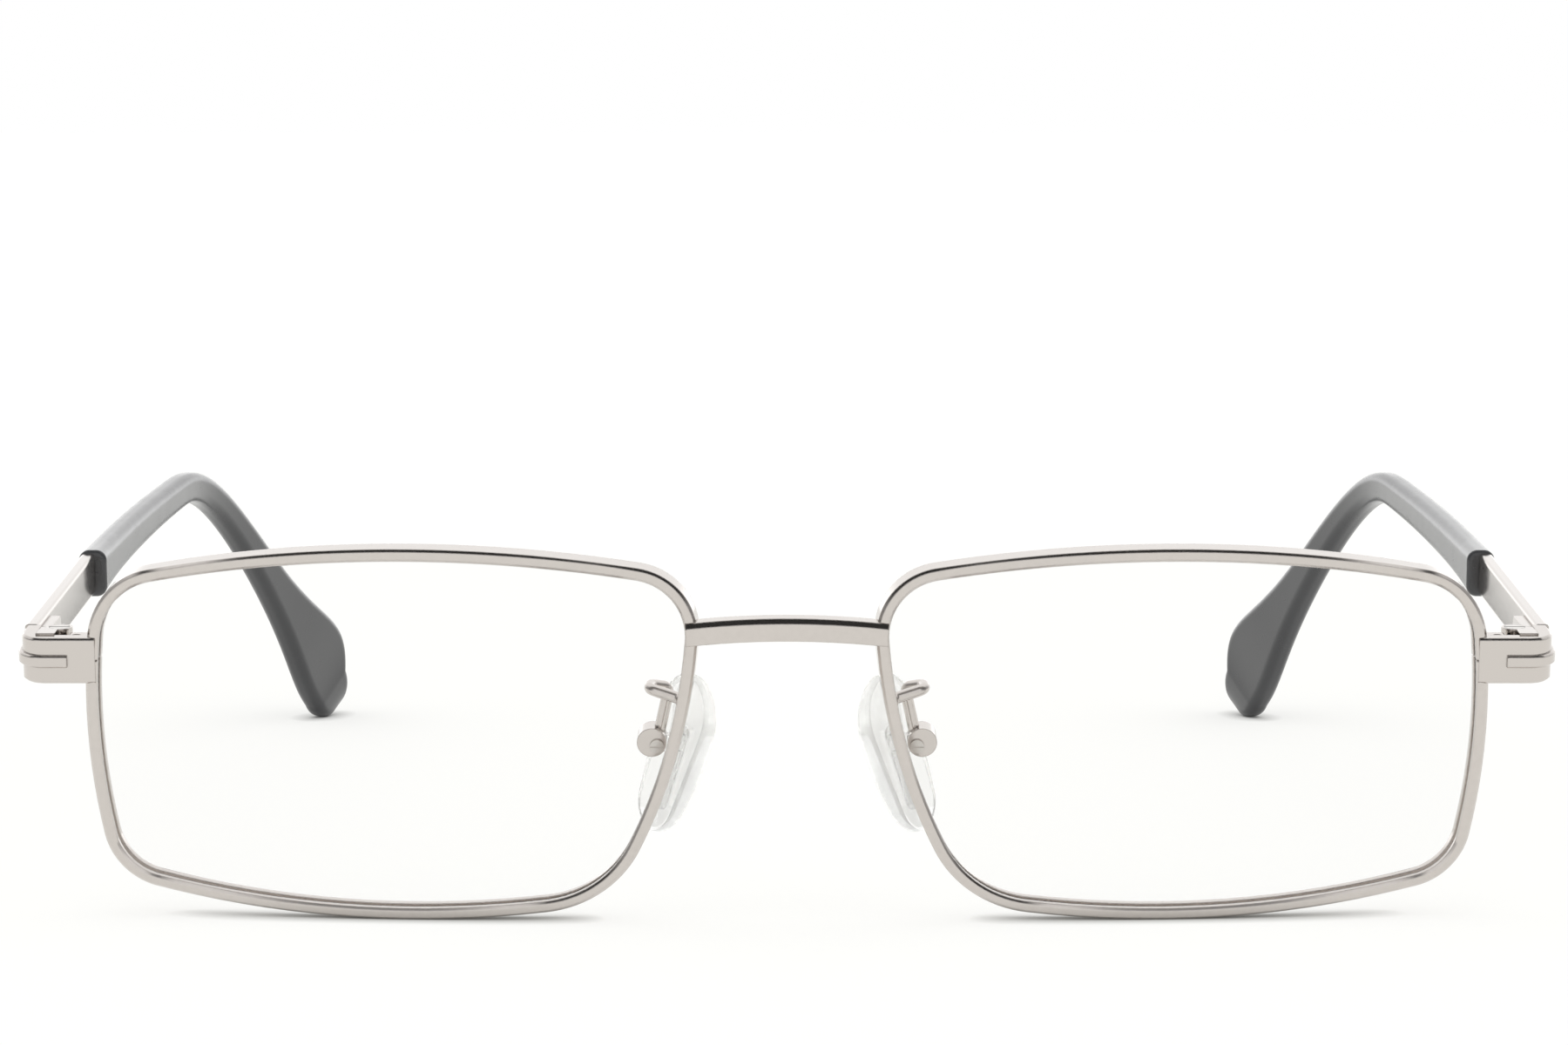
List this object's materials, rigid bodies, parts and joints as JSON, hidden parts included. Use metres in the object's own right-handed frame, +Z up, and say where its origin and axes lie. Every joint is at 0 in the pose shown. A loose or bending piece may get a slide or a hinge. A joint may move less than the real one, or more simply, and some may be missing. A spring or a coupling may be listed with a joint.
{
  "type": "eyeglasses",
  "caption": "Rectangular full-rim metal eyeglasses with clear lenses, folding temples with plastic sleeves and rocking nose pads; worn on the nose and ears.",
  "frame": {"origin": "centre of the bounding box at the bottom, on the surface that the open glasses stand on with the rims' bottoms and the temple tips", "axes": "+Z up, +Y from the front towards the temple tips, +X towards the wearer's left, which is right in the picture; the glasses mirror about the YZ plane"},
  "size_m": [0.1448, 0.1354, 0.0359],
  "materials": {
    "frame": "satin nickel-plated",
    "screws": "polished steel",
    "lens": "clear",
    "sleeve": "black gloss",
    "pad": "clear soft silicone",
    "insert": "clear hard plastic"
  },
  "bodies": {
    "front": {"bridge": "frame", "rim_left": "frame", "rim_right": "frame", "lens_left": "lens", "lens_right": "lens", "endpiece_left": "frame", "endpiece_right": "frame", "rim_lock_upper_left": "frame", "rim_lock_upper_right": "frame", "rim_lock_lower_left": "frame", "rim_lock_lower_right": "frame", "rim_lock_screw_left": "screws", "rim_lock_screw_right": "screws", "hinge_front_half_left": "frame", "hinge_front_half_right": "frame", "hinge_screw_left": "screws", "hinge_screw_right": "screws", "pad_box_left": "frame", "pad_box_right": "frame", "pad_screw_left": "screws", "pad_screw_right": "screws", "pad_arm_left": "frame", "pad_arm_right": "frame"},
    "temple_left": {"temple_left": "frame", "temple_sleeve_left": "sleeve", "hinge_temple_half_left": "frame"},
    "pad_left": {"nose_pad_left": "pad", "pad_insert_left": "insert"},
    "temple_right": {"temple_right": "frame", "temple_sleeve_right": "sleeve", "hinge_temple_half_right": "frame"},
    "pad_right": {"nose_pad_right": "pad", "pad_insert_right": "insert"}
  },
  "joints": [
    {"name": "temple_left_fold", "type": "hinge", "parent": "front", "child": "temple_left", "pos_m": [0.0685, -0.05787, 0.02535], "axis": [0, -0.064, 0.9979], "range_deg": [0, 83]},
    {"name": "temple_right_fold", "type": "hinge", "parent": "front", "child": "temple_right", "pos_m": [-0.0685, -0.05787, 0.02535], "axis": [0, 0.064, -0.9979], "range_deg": [0, 73]},
    {"name": "nose_pad_left_rock", "type": "hinge", "parent": "front", "child": "pad_left", "pos_m": [0.01225, -0.05753, 0.01615], "axis": [0, 0.9888, 0.149], "range_deg": [-8, 8]},
    {"name": "nose_pad_right_rock", "type": "hinge", "parent": "front", "child": "pad_right", "pos_m": [-0.01225, -0.05753, 0.01615], "axis": [0, -0.9888, -0.149], "range_deg": [-8, 8]}
  ]
}
